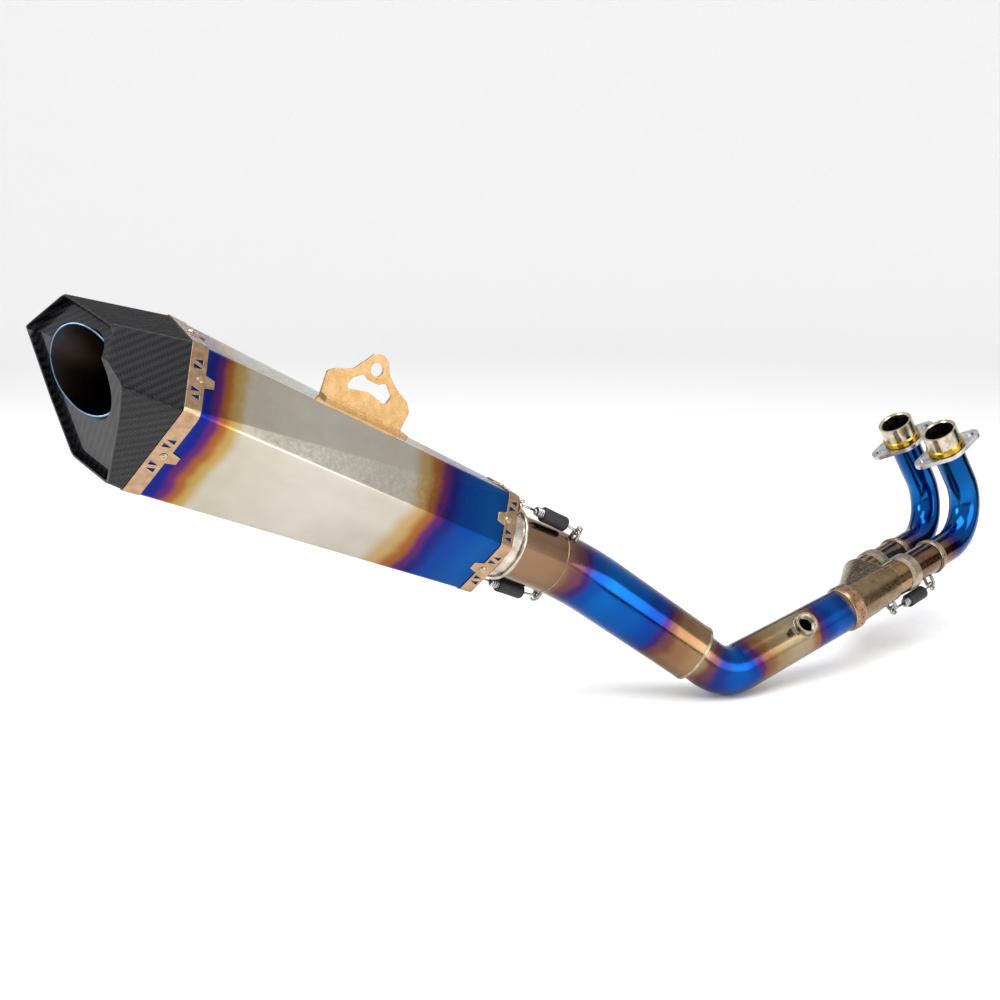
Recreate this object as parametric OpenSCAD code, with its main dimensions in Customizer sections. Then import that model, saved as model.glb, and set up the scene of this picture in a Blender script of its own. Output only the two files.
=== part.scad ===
// Full 2-into-1 racing exhaust for a parallel twin: two port headers, a
// collector, a welded mid and link pipe, and a slip-on muffler.
// Origin: centre of the near port flange. +X forwards, +Y to the left, +Z up.

/* [Headers] */
// Tilt of the port axis from vertical, degrees
port_tilt = 33; // [30:0.5:36]
// Distance between the two port centres
port_pitch = 70; // [68:0.5:73]
// Outer radius of each header pipe
header_r = 17.5; // [16.5:0.1:17.6]
// Bend radius of the headers
header_bend = 50; // [46:0.5:54]
// Length down the near port axis to its bend corner
near_drop = 121; // [115:0.5:125]
// Length down the far port axis to its bend corner
far_drop = 138; // [132:0.5:142]
// Radius of the slip stub that enters the collector
stub_r = 18.2; // [18.1:0.05:18.4]

/* [Port ends] */
// Outer radius of the port spigot
spigot_r = 20; // [19:0.1:21]
// Height of the port spigot
spigot_h = 18; // [14:0.5:22]
// Length of the two-bolt flange plate
flange_len = 82; // [80:0.5:88]
// Width of the two-bolt flange plate
flange_w = 46; // [45:0.5:50]
// Distance between the flange's bolt holes
flange_pcd = 62; // [60:0.5:66]
// Radius of a flange bolt hole
flange_hole_r = 4.3; // [3.3:0.1:5]

/* [Mid and link pipes] */
// Radius of the mid pipe at its bend
mid_r = 25.4; // [25:0.1:26]
// Radius of the mid pipe at the collector ring
mid_neck_r = 23.3; // [23:0.1:23.6]
// Bend radius of the mid pipe
mid_bend = 40; // [36:0.5:44]
// Radius of the link pipe at its low end
link_low_r = 31; // [30.5:0.1:31.5]
// Radius of the link pipe where the muffler slips on
link_r = 32.5; // [32:0.1:32.8]
// Bend radius of the link pipe
link_bend = 180; // [150:5:200]

/* [Muffler] */
// Length of the muffler sleeve
sleeve_len = 348; // [344:1:352]
// Sheet thickness of the sleeve
sleeve_wall = 1.2; // [1:0.1:1.5]
// Rounding of the sleeve's long edges
edge_r = 6; // [4:0.5:7]
// Outer radius of the outlet tube
outlet_r = 33.5; // [32.5:0.1:34]
// Thickness of the riveted bands
band_t = 1; // [0.8:0.1:1.4]
// Width of the riveted bands
band_w = 15; // [13:0.5:17]
// Radius of the hanger hole
hanger_hole_r = 6.5; // [5:0.1:7]

/* [Springs] */
// Outer radius of a retaining spring's coil
spring_r = 5; // [4.5:0.1:5.2]
// Distance between a spring's two hook arches
spring_span = 76; // [74:0.5:80]

/* [Hidden] */

// Smoothness of round stretches, and of the circles inside a hull
$fn = 72;
hull_fn = 28;

// Small distances that keep joined surfaces clean
fit_gap = 0.05;
lap = 0.6;
lap_step = 0.03;
pipe_wall = 1.4;
wire_r = 1.3;

// Vectors and frames ------------------------------------------------------
function unit(v) = v / norm(v);
function along(a, b, d) = a + unit(b - a) * d;
function turn(a, b, c) = acos(unit(b - a) * unit(c - b));
function setback(a, b, c, bend) = bend * tan(turn(a, b, c) / 2);
function flat_of(v, n) = unit(v - n * (v * n));
function side_of(z) = flat_of(abs(z.x) < 0.8 ? [1, 0, 0] : [0, 1, 0], z);

// Moves children so that local X and Z lie along the given unit vectors
module place(at, x, z) {
  y = cross(z, x);
  multmatrix([[x.x, y.x, z.x, at.x], [x.y, y.y, z.y, at.y], [x.z, y.z, z.z, at.z], [0, 0, 0, 1]])
    children();
}

// Round bar from a to b, with a radius at each end
module bar(a, b, ra, rb) {
  z = unit(b - a);
  place(a, side_of(z), z) cylinder(h = norm(b - a), r1 = ra, r2 = rb);
}

// Round tube from a to b, open at both ends
module tube(a, b, r, wall) {
  z = unit(b - a);
  difference() {
    bar(a, b, r, r);
    bar(a - z, b + z, r - wall, r - wall);
  }
}

// Tapered tube from a to b
module taper(a, b, ra, rb, wall) {
  slope = (rb - ra) / norm(b - a);
  z = unit(b - a);
  difference() {
    bar(a, b, ra, rb);
    bar(a - z, b + z, ra - wall - slope, rb - wall + slope);
  }
}

// Bent tube round the corner b of the route a, b, c
module elbow(a, b, c, bend, r, wall) {
  u = unit(a - b);
  v = unit(c - b);
  s = setback(a, b, c, bend);
  hub = b + unit(u + v) * sqrt(s * s + bend * bend);
  x = unit(b + u * s - hub);
  place(hub, x, cross(x, -u)) rotate_extrude(angle = turn(a, b, c), $fn = 120)
    translate([bend, 0]) difference() {
      circle(r);
      circle(r - wall);
    }
}

// Tube along a route of three points with one bend; its two legs lap the elbow
module bent_tube(a, b, c, bend, r, wall) {
  s = setback(a, b, c, bend);
  tube(a, along(b, a, s - lap), r, wall);
  elbow(a, b, c, bend, r - lap_step, wall - 2 * lap_step);
  tube(along(b, c, s - lap), c, r, wall);
}

// Ring round an axis at a point, with a height along the axis
module collar_at(at, axis, outer, inner, h) {
  place(at, side_of(axis), axis) difference() {
    cylinder(h = h, r = outer);
    translate([0, 0, -1]) cylinder(h = h + 2, r = inner);
  }
}

// Rounded weld bead round a pipe
module bead(at, axis, pipe_radius, bead_r) {
  place(at, side_of(axis), axis) rotate_extrude() translate([pipe_radius, 0])
    circle(bead_r, $fn = 24);
}

// Header layout -----------------------------------------------------------
port_down = [sin(port_tilt), 0, -cos(port_tilt)];
near_port = [0, 0, 0];
far_port = [0, port_pitch, 0];
near_knee = near_port + port_down * near_drop;
far_knee = far_port + port_down * far_drop;
ring_at = [-195, -55, -152];
// Where the far header's axis meets the collector's far branch
far_join = [-122, 3, -140];

near_run = unit(ring_at - near_knee);
far_run = unit(far_join - far_knee);
// Distances along each lower leg from its knee
lip_near = 156;
lip_far = 172;
lip_len = 18;
stub_in = 34;
stub_out = 47;
pipe_lap = 8;
weld_len = 10;
function near_at(d) = near_knee + near_run * d;
function far_at(d) = far_knee + far_run * d;

// Collector layout
socket_r = stub_r + fit_gap;
branch_r = socket_r + 1.8;
branch_neck_r = 22.8;
collector_wall = 1.6;

// Pipe layout
mid_corner = [-366, -62, -199];
link_low = [-396, -47, -172];
muffler_at = [-611, -1, -34];
muffler_end = [-924, -7, 117];
axis_out = unit(muffler_end - muffler_at);
side_out = unit([-axis_out.y, axis_out.x, 0]);
side_up = cross(axis_out, side_out);
slip_in = 18;
slip_start = -110;
link_top = muffler_at + axis_out * slip_in;
link_corner = muffler_at + axis_out * slip_start;

// Sections of the muffler: X outwards, Y up, seen along its axis
front_section = [[-16, 52], [30, 45], [50, -4], [12, -56], [-30, -50], [-44, 18]];
rear_section = [[-70, 75], [22, 57], [66, 2], [0, -79], [-46, -70], [-74, 26]];
cap_section = [[-47, 51], [25, 35], [50, 2], [-4, -74], [-42, -66], [-62, 17]];
cap_reach = 112;
outlet_at = [-3, 2.5];
function section_at(z) = [for (i = [0 : 5])
  front_section[i] + (rear_section[i] - front_section[i]) * z / sleeve_len];

// Places children in the muffler's frame: Z along it towards the outlet
module on_muffler() {
  place(muffler_at, side_out, axis_out) children();
}

// Thin rounded slice of a muffler section, shrunk by inset
module slice(points, inset, z) {
  r = max(edge_r - inset, 1);
  translate([0, 0, z]) linear_extrude(0.01) offset(r = r, $fn = hull_fn)
    offset(delta = -r - inset) polygon(points);
}

// Solid between two sections of the sleeve
module sleeve_block(inset, z0, z1) {
  hull() {
    slice(section_at(z0), inset, z0);
    slice(section_at(z1), inset, z1 - 0.01);
  }
}

// Half space beyond a slanted plane through the muffler axis at height z
module beyond(slope_x, slope_y, z) {
  n = unit([-slope_x, -slope_y, 1]);
  place([0, 0, z], flat_of([1, 0, 0], n), n) translate([-300, -300, 0]) cube([600, 600, 300]);
}

// Solid of the end cap: its upper and lower slashes meet in a ridge
module cap_block(inset, drop) {
  difference() {
    hull() {
      slice(rear_section, inset, sleeve_len);
      slice(cap_section, inset, sleeve_len + cap_reach);
    }
    beyond(-0.38, 0.75, sleeve_len + 71 - drop);
    beyond(-0.4, -0.3, sleeve_len + 88 - drop);
  }
}

// Muffler pieces ----------------------------------------------------------
cap_wall = 2;
face_depth = 7;
face_t = 2.2;

module end_cap() {
  color("#1b1c1e") on_muffler() difference() {
    cap_block(0, 0);
    difference() {
      cap_block(cap_wall, face_depth + face_t);
      translate([0, 0, sleeve_len - 300.5]) cube([600, 600, 600], center = true);
    }
    translate([-300, -300, sleeve_len - 1]) linear_extrude(1) square(600);
    difference() {
      cap_block(cap_wall, -1);
      cap_block(cap_wall - 1, face_depth);
    }
    translate([outlet_at.x, outlet_at.y, sleeve_len - 5])
      cylinder(h = cap_reach + 40, r = outlet_r + fit_gap);
  }
}

plate_z = sleeve_len - 9;
plate_fill = 0.95;
plate_hole_r = 28;
outlet_wall = 1.5;
rim_slope_x = -0.66;
rim_slope_y = 0.455;
rim_z = sleeve_len + 62;

module outlet_tube() {
  color("#8fa3b8") on_muffler() difference() {
    translate([outlet_at.x, outlet_at.y, plate_z + 3]) difference() {
      cylinder(h = sleeve_len, r = outlet_r);
      translate([0, 0, -1]) cylinder(h = sleeve_len + 2, r = outlet_r - outlet_wall);
    }
    beyond(rim_slope_x, rim_slope_y, rim_z);
  }
}

module muffler_sleeve() {
  color("#c4bdb2") on_muffler() difference() {
    sleeve_block(0, 0, sleeve_len);
    hull() {
      slice(section_at(-1), sleeve_wall, -1);
      slice(section_at(sleeve_len + 1), sleeve_wall, sleeve_len + 1);
    }
  }
}

// Faces that carry rivets: section edge from corner i to the next one
rivet_faces = [0, 1, 2, 3, 4, 5];
rivet_r = 3.4;
rear_rivet_z = sleeve_len - band_w / 2 - 3;
front_rivet_z = band_w / 2 + 2;

function face_mid(z, i) = (section_at(z)[i] + section_at(z)[(i + 1) % 6]) / 2;
function face_run(z, i) = unit(section_at(z)[(i + 1) % 6] - section_at(z)[i]);

// Places children on a face of the sleeve: Z outwards, X round the muffler
module on_face(z, i) {
  run = face_run(z, i);
  mid = face_mid(z, i);
  place([mid.x, mid.y, z], [run.x, run.y, 0], [-run.y, run.x, 0]) children();
}

// Space just over the sleeve, from end to end
module sleeve_clearance() {
  hull() {
    slice(section_at(-1), -0.08, -1);
    slice(section_at(sleeve_len + 1), -0.08, sleeve_len + 1);
  }
}

// Riveted band with a pointed tab on every face
module band(z0, z1, tab_z, tab_dir, rivet_z) {
  difference() {
    union() {
      intersection() {
        sleeve_block(-band_t, 0, sleeve_len);
        translate([-300, -300, z0]) cube([600, 600, z1 - z0]);
      }
      for (i = rivet_faces) on_face((z0 + z1) / 2, i) translate([0, 0, -1.2])
        linear_extrude(2.2) polygon([[-9, 0], [9, 0], [4, tab_z * tab_dir], [-4, tab_z * tab_dir]]);
    }
    sleeve_clearance();
    for (i = rivet_faces) on_face((z0 + z1) / 2, i) windows();
    for (i = rivet_faces) on_face(rivet_z, i) translate([0, 0, -3]) cylinder(h = 8, r = rivet_r + fit_gap);
  }
}

// Two pairs of triangular windows beside a rivet
window_from = 9;
window_step = 6.5;
window_w = 5;
window_half = 4;

module windows() {
  for (s = [-1, 1]) for (k = [0, 1]) {
    x = window_from + k * window_step;
    tip = k == 0 ? window_half : -window_half;
    translate([0, 0, -3]) linear_extrude(8)
      polygon([[s * x, -tip], [s * (x + window_w), -tip], [s * (x + window_w / 2), tip]]);
  }
}

module rear_band() {
  color("#b48a55") on_muffler() band(sleeve_len - band_w, sleeve_len, 16, 1, rear_rivet_z);
}

module front_band() {
  color("#a8875e") on_muffler() band(0, band_w - 2, 15, -1, front_rivet_z);
}

// One domed rivet per face
module rivets(z) {
  difference() {
    for (i = rivet_faces) on_face(z, i) rotate_extrude()
      polygon([[0, -0.4], [rivet_r, -0.4], [rivet_r, 1.6], [rivet_r - 1, 2.6], [1.2, 2.6], [0.8, 2], [0, 2]]);
    sleeve_clearance();
  }
}

module rear_rivets() {
  color("#9a8468") on_muffler() rivets(rear_rivet_z);
}

module front_rivets() {
  color("#9a8468") on_muffler() rivets(front_rivet_z);
}

socket_bore = link_r + fit_gap;
socket_wall = 2;
socket_back = 42;
socket_front = -24;
cap_front = -6;

module front_cap() {
  color("#a8957c") on_muffler() difference() {
    hull() {
      slice(front_section, 0.1, -0.2);
      translate([0, 0, cap_front]) cylinder(h = 1, r = 38, $fn = 48);
    }
    hull() {
      slice(front_section, 2, 0);
      translate([0, 0, cap_front + 2]) cylinder(h = 0.1, r = 36.4, $fn = 48);
    }
    translate([0, 0, -60]) cylinder(h = 120, r = socket_bore + socket_wall + fit_gap);
  }
}

module inlet_socket() {
  color("#cfc6b8") on_muffler() {
    difference() {
      union() {
        translate([0, 0, socket_front])
          cylinder(h = socket_back - socket_front, r = socket_bore + socket_wall);
        translate([0, 0, socket_front + 2.5]) rotate_extrude() translate([socket_bore + 2.6, 0])
          circle(2.4, $fn = 24);
      }
      translate([0, 0, socket_front - 3]) cylinder(h = 100, r = socket_bore);
    }
  }
}

core_rows = 7;
core_hole_r = 4;
core_r = 32;
core_wall = 1.4;
core_start = socket_back + 1;
core_end = plate_z - 0.5;

module core_tube() {
  color("#8d8a84") on_muffler() difference() {
    translate([0, 0, core_start]) cylinder(h = core_end - core_start, r = core_r);
    translate([0, 0, core_start - 1]) cylinder(h = core_end - core_start + 2, r = core_r - core_wall);
    for (i = [1 : core_rows]) for (k = [0 : 2])
      translate([0, 0, core_start + i * (core_end - core_start) / (core_rows + 1)])
        rotate([0, 90, k * 60 + (i % 2) * 30]) cylinder(h = 90, r = core_hole_r, center = true, $fn = 24);
  }
}

module packing() {
  color("#d9d2b8") on_muffler() difference() {
    sleeve_block(3.2, 4, plate_z - 1);
    translate([0, 0, -10]) cylinder(h = sleeve_len, r = 35.4);
  }
}

module rear_plate() {
  color("#9b9992") on_muffler() translate([0, 0, plate_z]) linear_extrude(2) difference() {
    polygon(section_at(plate_z) * plate_fill);
    circle(plate_hole_r);
  }
}

// Hanger plate outline: X along the muffler, Y up
hanger_x = -20;
hanger_t = 3;
hanger_hole = [164, 103];
hanger_foot_y = 57.6;

module hanger_outline() {
  offset(r = 4, $fn = hull_fn) offset(r = -8, $fn = hull_fn) offset(delta = 4)
    polygon([[207, 60.2], [209, 84], [202, 89], [186, 95], [178, 106], [172, 115], [164, 118],
      [156, 114], [150, 103], [138, 94], [123, 87], [117, 79], [119, 57.2]]);
}

module hanger_window() {
  offset(r = 3, $fn = hull_fn) offset(delta = -3)
    polygon([[187, 76], [184, 87], [174, 95], [168, 91], [157, 91], [150, 95],
      [140, 86], [143, 76], [164, 81]]);
}

module hanger_bracket() {
  color("#b98a52") on_muffler() {
    translate([hanger_x, 0, 0]) rotate([0, -90, 0]) linear_extrude(hanger_t) difference() {
      hanger_outline();
      hanger_window();
      translate(hanger_hole) circle(hanger_hole_r);
    }
    translate([hanger_x - hanger_t, hanger_foot_y, 117]) rotate([-2.2, 0, 0]) rotate([0, 0, -10.2])
      cube([19, 3.4, 90]);
  }
}

// Spring hardware ---------------------------------------------------------
arch_r = 5;
hook_wire_r = 2;
// How far an arch's legs run on past the start of its bow
hook_lap = 0.3;
muffler_leg = 4;
header_crown_r = 30;
coil_half = 20;
loop_r = 4.2;
rubber_half = 15;
// How far a rubber sleeve sits along its spring from the middle, so one end of the coil shows
rubber_shift = 5;
rubber_wall = 2.3;
rubber_over = 2.6;

// Wire arch on two legs that stands on a pipe across its axis
module arch(at, out, axis, leg) {
  x = cross(out, axis);
  foot = at - out;
  place(foot + out * leg, x, axis) rotate_extrude(angle = 180) translate([arch_r, 0])
    circle(hook_wire_r - lap_step, $fn = 32);
  for (s = [-1, 1])
    bar(foot + x * s * arch_r, foot + x * s * arch_r + out * (leg + hook_lap), hook_wire_r, hook_wire_r);
}

// Tension spring between two arch crowns: coil body, two shanks and two eyes
module spring(a, b, out) {
  run = unit(b - a);
  mid = (a + b) / 2;
  bar(mid - run * coil_half, mid + run * coil_half, spring_r, spring_r);
  bar(a + run * loop_r, mid - run * (coil_half - 1), wire_r, wire_r);
  bar(mid + run * (coil_half - 1), b - run * loop_r, wire_r, wire_r);
  for (p = [a, b]) place(p, run, cross(run, out)) rotate_extrude() translate([loop_r, 0])
    circle(wire_r, $fn = 24);
}

// Rubber sleeve over a spring's coil
module spring_sleeve(a, b) {
  run = unit(b - a);
  mid = (a + b) / 2;
  middle = mid + run * rubber_shift;
  tube(middle - run * rubber_half, middle + run * rubber_half, spring_r + rubber_over, rubber_wall);
}

// Crown of an arch that stands at a surface point
function crown(at, out, leg) = at + out * (leg + arch_r - 1);

// Muffler springs: one above the link pipe and one below it
spring_outs = [unit(side_up * 0.94 + side_out * 0.34), unit(-side_up * 0.9 - side_out * 0.3)];
ring_r = socket_bore + socket_wall;
function axis_at(z) = muffler_at + axis_out * z;
hook_z = -13;
foot_gap = 0.8;
function muffler_foot(out) = axis_at(hook_z) + out * (ring_r + foot_gap);
function link_hook(out) = axis_at(hook_z - spring_span) + out * (ring_r - socket_wall - fit_gap + 0.2);

module muffler_hooks() {
  color("#a59a8c") for (out = spring_outs) arch(muffler_foot(out), out, axis_out, muffler_leg);
}

module link_hooks() {
  color("#9a8a76") for (out = spring_outs) arch(link_hook(out), out, axis_out, muffler_leg);
}

module muffler_springs() {
  color("#b9bcc0") for (out = spring_outs)
    spring(crown(muffler_foot(out), out, muffler_leg),
      crown(link_hook(out), out, muffler_leg), out);
}

module muffler_spring_sleeves() {
  color("#161617") for (out = spring_outs)
    spring_sleeve(crown(muffler_foot(out), out, muffler_leg),
      crown(link_hook(out), out, muffler_leg));
}

// Mid and link pipes ------------------------------------------------------
link_wall = 1.4;
low_leg = unit(link_low - link_corner);
seam_back = 78;

module link_pipe() {
  s = setback(link_low, link_corner, link_top, link_bend);
  color("#0b4aa8") union() {
    taper(link_low, along(link_corner, link_low, s - lap), link_low_r, link_r, link_wall);
    elbow(link_low, link_corner, link_top, link_bend, link_r - lap_step, link_wall - 2 * lap_step);
    tube(along(link_corner, link_top, s - lap), link_top, link_r, link_wall);
  }
}

module link_seam() {
  color("#8a6a4c") bead(axis_at(-seam_back), axis_out, link_r, 0.7);
}

step_t = 3;

module link_step_ring() {
  color("#a88f70") union() {
    collar_at(link_low + low_leg * 0.2, low_leg, link_low_r + 0.2, mid_r + fit_gap, step_t);
    bead(link_low + low_leg * (step_t + 0.4), low_leg, mid_r + 0.8, 1.4);
  }
}

mid_start = ring_at + unit(mid_corner - ring_at) * 8;
mid_end_in = 12;

module mid_pipe() {
  end = link_low + unit(link_low - mid_corner) * mid_end_in;
  s = setback(mid_start, mid_corner, end, mid_bend);
  color("#8a6238") difference() {
    union() {
      taper(mid_start, along(mid_corner, mid_start, s - lap), mid_neck_r, mid_r, pipe_wall);
      elbow(mid_start, mid_corner, end, mid_bend, mid_r - lap_step, pipe_wall - 2 * lap_step);
      tube(along(mid_corner, end, s - lap), end, mid_r, pipe_wall);
    }
    place(bung_base, mid_run, bung_dir) translate([0, 0, 15]) cylinder(h = 20, r = bung_r + fit_gap);
  }
}

// Lambda sensor bung: M18 x 1.5 boss on the mid pipe
mid_run = unit(mid_corner - ring_at);
mid_up = flat_of([0, 0, 1], mid_run);
mid_side = cross(mid_up, mid_run);
bung_dir = mid_up * cos(46) + mid_side * sin(46) * sign(-mid_side.y);
bung_base = ring_at + mid_run * 74;
bung_r = 12;
bung_bore = 8.25;
bung_low = 21.5;
bung_top = 31;

module lambda_bung() {
  color("#c2b49a") place(bung_base, mid_run, bung_dir) difference() {
    translate([0, 0, bung_low]) cylinder(h = bung_top - bung_low, r = bung_r);
    translate([0, 0, bung_low - 1]) cylinder(h = 20, r = bung_bore);
    translate([0, 0, bung_top - 1.5]) cylinder(h = 3, r1 = bung_bore, r2 = bung_bore + 3);
  }
}

module sensor_tab() {
  color("#8f8675") place(bung_base + mid_run * 19, mid_run, bung_dir)
    translate([-2.5, -4, 23]) difference() {
      cube([5, 8, 8]);
      translate([-1, 4, 5]) rotate([0, 90, 0]) cylinder(h = 7, r = 2);
    }
}

// Collector ---------------------------------------------------------------
module collector_ring() {
  color("#b08a66") place(ring_at - mid_run * 7, mid_up, mid_run) difference() {
    rotate_extrude() polygon([[20, 0], [24.4, 0], [25.6, 2], [25.6, 12], [24.4, 14], [20, 14]]);
    translate([0, 0, -1]) cylinder(h = 8.9, r = neck_r + fit_gap);
    translate([0, 0, 7.8]) cylinder(h = 10, r = mid_neck_r + fit_gap);
    for (i = [0 : 17]) rotate([0, 0, i * 20]) translate([25.6, 0, 7]) rotate([0, 90, 0])
      cylinder(h = 1.6, r = 1.3, center = true, $fn = 16);
  }
}

near_mouth = near_at(lip_near);
far_mouth = far_at(lip_far);
near_mid = near_mouth + near_run * 40;
block_r = branch_r + 1.2;

// Thin disc across an axis
module disc(at, axis, r) {
  place(at, side_of(axis), axis) cylinder(h = 0.1, r = r, $fn = 48);
}

// Volume that blends the two sockets into one round neck
neck_len = 8;
neck_r = branch_neck_r - 0.2;
socket_clear = 15;

module collector_block(inset, front, back) {
  hull() {
    disc(near_mid + near_run * front, near_run, block_r - inset);
    disc(far_join + far_run * front, far_run, block_r - inset);
    disc(ring_at + mid_run * (back - neck_len), mid_run, branch_neck_r - inset);
  }
}

module collector() {
  color("#8a7a58") union() {
    difference() {
      collector_block(0, 0, 0);
      collector_block(collector_wall, collector_wall + 1, 1);
      bar(near_mid - near_run * socket_clear, near_mid + near_run * 7,
        branch_r + fit_gap, branch_r + fit_gap);
      bar(far_join - far_run * socket_clear, far_join + far_run * 7, branch_r + fit_gap, branch_r + fit_gap);
    }
    tube(ring_at - mid_run * (neck_len + 1), ring_at, neck_r, collector_wall);
  }
}

// Straight sockets that the header stubs slide into
socket_reach = 4;

module socket(mouth, mid, run) {
  tube(mouth, mid + run * socket_reach, branch_r, branch_r - socket_r);
}

module socket_near() {
  color("#a98a5a") socket(near_mouth, near_mid, near_run);
}

module socket_far() {
  color("#a98a5a") socket(far_mouth, far_join, far_run);
}

// Flared lip welded round each collector socket's mouth
lip_r = branch_r + 1.4;

module lip(mouth, run) {
  place(mouth - run * 1, side_of(run), run) difference() {
    rotate_extrude() polygon([[15, 0], [lip_r - 1, 0], [lip_r, 1], [lip_r, lip_len - 6],
      [branch_r + 0.4, lip_len], [15, lip_len]]);
    translate([0, 0, -1]) cylinder(h = 2 + 0.1, r = socket_r);
    translate([0, 0, 1]) cylinder(h = lip_len + 2, r = branch_r + fit_gap);
  }
}

module socket_lip_near() {
  color("#b9b2a4") lip(near_mouth, near_run);
}

module socket_lip_far() {
  color("#b9b2a4") lip(far_mouth, far_run);
}

// Header spring directions: the near one low and outboard, the far one below
near_out = flat_of([0, -0.4, -0.92], near_run);
far_out = flat_of([0, 0.55, -0.83], far_run);
hook_fwd = -30;
hook_back = hook_fwd + spring_span;
far_shift = -12;
socket_seat = branch_r + 0.4;
stub_seat = stub_r + 0.4;
function leg_for(seat) = header_crown_r - seat - arch_r + 1;
function near_seat(d, r) = near_mouth + near_run * d + near_out * r;
function far_seat(d, r) = far_mouth + far_run * (d + far_shift) + far_out * r;

module collector_hooks() {
  color("#a59a8c") union() {
    arch(near_seat(hook_back, socket_seat), near_out, near_run, leg_for(socket_seat));
    arch(far_seat(hook_back, socket_seat), far_out, far_run, leg_for(socket_seat));
  }
}

function near_crowns() = [crown(near_seat(hook_back, socket_seat), near_out, leg_for(socket_seat)),
  crown(near_seat(hook_fwd, stub_seat), near_out, leg_for(stub_seat))];
function far_crowns() = [crown(far_seat(hook_back, socket_seat), far_out, leg_for(socket_seat)),
  crown(far_seat(hook_fwd, stub_seat), far_out, leg_for(stub_seat))];

module header_spring_near() {
  color("#b9bcc0") spring(near_crowns()[0], near_crowns()[1], near_out);
}

module header_spring_far() {
  color("#b9bcc0") spring(far_crowns()[0], far_crowns()[1], far_out);
}

module spring_sleeve_near() {
  color("#161617") spring_sleeve(near_crowns()[0], near_crowns()[1]);
}

module spring_sleeve_far() {
  color("#161617") spring_sleeve(far_crowns()[0], far_crowns()[1]);
}

// Headers -----------------------------------------------------------------
pipe_top = 7;
header_wall = 1.3;

module header(port, knee, mouth, run) {
  top = port - port_down * pipe_top;
  low = mouth - run * (stub_out - pipe_lap);
  bent_tube(top, knee, low, header_bend, header_r, header_wall);
}

module header_near() {
  color("#1060b0") header(near_port, near_knee, near_mouth, near_run);
}

module header_far() {
  color("#1060b0") header(far_port, far_knee, far_mouth, far_run);
}

module stub(mouth, run) {
  tube(mouth - run * stub_out, mouth + run * stub_in, stub_r, stub_r - header_r - fit_gap);
}

module stub_near() {
  color("#7a5236") stub(near_mouth, near_run);
}

module stub_far() {
  color("#7a5236") stub(far_mouth, far_run);
}

// Frosted weld ring where the header enters its stub
module stub_weld(mouth, run) {
  place(mouth - run * (stub_out + weld_len - 2), side_of(run), run) difference() {
    rotate_extrude() polygon([[15, 0], [header_r + 0.6, 0], [header_r + 2, 2], [header_r + 2, weld_len - 2],
      [stub_r + 0.4, weld_len], [15, weld_len]]);
    translate([0, 0, -1]) cylinder(h = weld_len - 1.2, r = header_r + fit_gap);
    translate([0, 0, weld_len - 2.3]) cylinder(h = 5, r = stub_r + fit_gap);
  }
}

module stub_weld_near() {
  color("#c9c4b8") stub_weld(near_mouth, near_run);
}

module stub_weld_far() {
  color("#c9c4b8") stub_weld(far_mouth, far_run);
}

module header_hook_near() {
  color("#a59a8c") arch(near_seat(hook_fwd, stub_seat), near_out, near_run, leg_for(stub_seat));
}

module header_hook_far() {
  color("#a59a8c") arch(far_seat(hook_fwd, stub_seat), far_out, far_run, leg_for(stub_seat));
}

// Port ends ---------------------------------------------------------------
collar_r = 21.6;
collar_low = 0.3;
collar_top = 8;
flange_t = 5;
flange_turn = -23;
flange_bore = header_r + 0.4;

// Places children at a port: Z towards the cylinder head
module at_port(port) {
  place(port, flat_of([1, 0, 0], -port_down), -port_down) children();
}

module collar(port) {
  at_port(port) difference() {
    rotate_extrude() polygon([[15, collar_low], [collar_r - 1, collar_low], [collar_r, collar_low + 1],
      [collar_r, collar_top - 1.5], [collar_r - 1.5, collar_top], [15, collar_top]]);
    cylinder(h = 2 * (collar_top + 1), r = header_r + fit_gap, center = true);
  }
}

module collar_near() {
  color("#b8923c") collar(near_port);
}

module collar_far() {
  color("#b8923c") collar(far_port);
}

spigot_low = collar_top + 0.05;
spigot_bore = 16.4;

module spigot(port) {
  at_port(port) difference() {
    translate([0, 0, spigot_low]) cylinder(h = spigot_h, r = spigot_r);
    translate([0, 0, spigot_low - 1]) cylinder(h = spigot_h + 2, r = spigot_bore);
    translate([0, 0, spigot_low + spigot_h - 1.2]) cylinder(h = 3, r1 = spigot_bore, r2 = spigot_bore + 3);
  }
}

module spigot_near() {
  color("#c9c2b0") spigot(near_port);
}

module spigot_far() {
  color("#c9c2b0") spigot(far_port);
}

// Loose oval two-bolt plate; it hangs under its collar
module flange(port) {
  ear_r = 9.5;
  at_port(port) rotate([0, 0, flange_turn]) translate([0, 0, -flange_t]) difference() {
    linear_extrude(flange_t) hull() {
      circle(flange_w / 2);
      for (s = [-1, 1]) translate([s * (flange_len / 2 - ear_r), 0]) circle(ear_r);
    }
    translate([0, 0, -1]) cylinder(h = flange_t + 2, r = flange_bore);
    for (s = [-1, 1]) translate([s * flange_pcd / 2, 0, -1]) cylinder(h = flange_t + 2, r = flange_hole_r);
  }
}

module flange_near() {
  color("#c7c9cb") flange(near_port);
}

module flange_far() {
  color("#c7c9cb") flange(far_port);
}

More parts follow.
